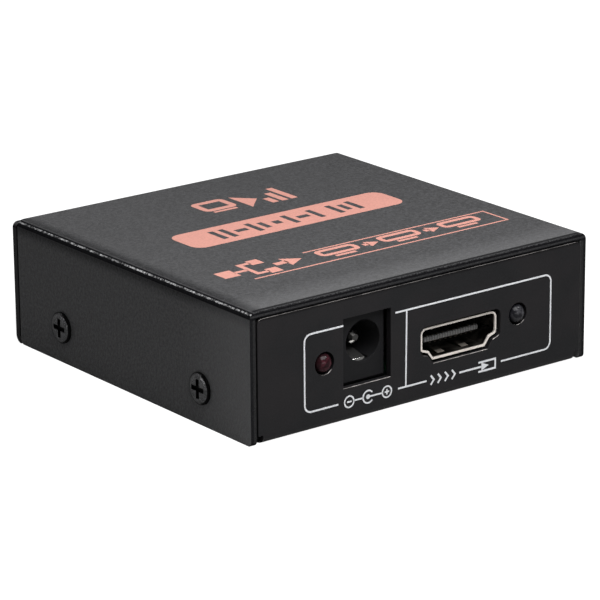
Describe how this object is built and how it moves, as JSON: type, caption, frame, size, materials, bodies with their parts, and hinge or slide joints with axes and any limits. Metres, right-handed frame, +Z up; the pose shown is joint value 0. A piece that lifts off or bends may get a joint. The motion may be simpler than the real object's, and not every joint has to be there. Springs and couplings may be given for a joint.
{
  "type": "video splitter box",
  "caption": "Small folded-sheet box that copies one video input to two outputs, with a power jack and status lamps.",
  "frame": {"origin": "middle of the box's resting face, on the surface that it stands on", "axes": "+Z up; -Y out of the front panel with the input socket and the power jack; +X to the right as the front is seen"},
  "size_m": [0.0646, 0.0626, 0.02],
  "materials": {
    "cover_coat": "fine sandy black powder coat",
    "tray_coat": "smooth satin black coat",
    "black_screw": "black oxide",
    "plated_steel": "zinc plate",
    "board_laminate": "green solder mask",
    "socket_plating": "bright pale gold plating",
    "black_moulding": "moulded black",
    "contact_gold": "gold flash",
    "jack_moulding": "moulded black",
    "nickel": "bright nickel",
    "red_lens": "clear red epoxy, unlit",
    "clear_lens": "water clear epoxy, unlit",
    "tinned_wire": "tinned",
    "chip_moulding": "moulded black epoxy",
    "ferrite": "dull grey",
    "capacitor_can": "bright can",
    "chip_ceramic": "fired"
  },
  "bodies": {
    "case": {"top_cover": "cover_coat", "base_tray": "tray_coat", "cover_screws": "black_screw", "board_standoffs": "plated_steel", "circuit_board": "board_laminate", "board_screws": "plated_steel", "input_socket_shell": "socket_plating", "input_socket_insulator": "black_moulding", "input_socket_contacts": "contact_gold", "output_1_socket_shell": "socket_plating", "output_1_socket_insulator": "black_moulding", "output_1_socket_contacts": "contact_gold", "output_2_socket_shell": "socket_plating", "output_2_socket_insulator": "black_moulding", "output_2_socket_contacts": "contact_gold", "power_jack_body": "jack_moulding", "power_jack_pin": "nickel", "power_jack_leaf_terminal": "nickel", "power_jack_shunt": "nickel", "power_led": "red_lens", "power_led_legs": "tinned_wire", "input_led": "clear_lens", "input_led_legs": "tinned_wire", "output_1_led": "clear_lens", "output_1_led_legs": "tinned_wire", "output_2_led": "clear_lens", "output_2_led_legs": "tinned_wire", "splitter_chip": "chip_moulding", "splitter_chip_leads": "tinned_wire", "memory_chip": "chip_moulding", "memory_chip_leads": "tinned_wire", "crystal": "plated_steel", "power_inductor": "ferrite", "voltage_regulator": "chip_moulding", "reservoir_capacitors": "capacitor_can", "surge_arrays": "chip_moulding", "chip_resistors": "chip_ceramic", "chip_capacitors": "chip_ceramic"},
    "jack_leaf": {"power_jack_leaf": "nickel"}
  },
  "joints": [
    {"name": "jack_leaf_press", "type": "hinge", "parent": "case", "child": "jack_leaf", "pos_m": [-0.01068, -0.01845, 0.00715], "axis": [1, 0, 0], "range_deg": [0, 4.5], "stiffness_Nm_per_rad": 0.02}
  ]
}
